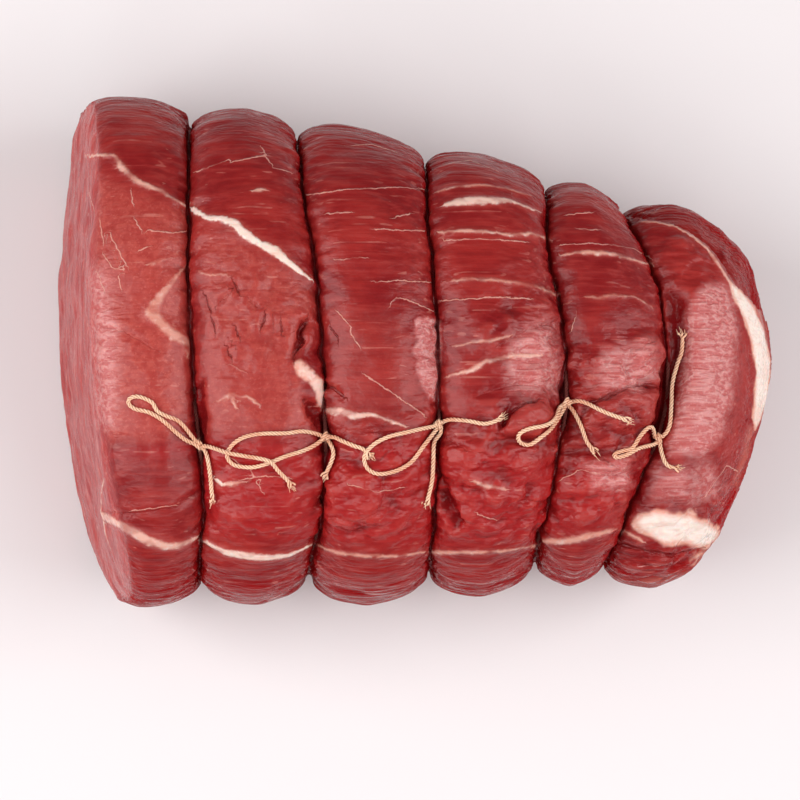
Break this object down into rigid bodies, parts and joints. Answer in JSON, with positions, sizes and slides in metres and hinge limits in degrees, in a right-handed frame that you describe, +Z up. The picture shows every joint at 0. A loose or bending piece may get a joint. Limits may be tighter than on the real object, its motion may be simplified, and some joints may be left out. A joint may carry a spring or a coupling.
{
  "type": "raw beef roasting joint",
  "caption": "Raw rolled beef joint with a slanted cut end and a rounded nose, bound with rounds of butcher's twine tied in bows, resting on its flattened underside.",
  "frame": {"origin": "on the table under the middle of the joint, centred on its outline", "axes": "+X along the joint from the slanted cut end to the rounded nose, +Y to the side away from the picture's viewer, +Z up"},
  "size_m": [0.211, 0.1478, 0.0944],
  "materials": {
    "beef": "moist raw beef with fat seams",
    "twine": "twisted cotton stained by the meat"
  },
  "bodies": {
    "root": {"meat": "beef", "twine_1": "twine", "twine_2": "twine", "twine_3": "twine", "twine_4": "twine", "twine_5": "twine"}
  },
  "joints": []
}
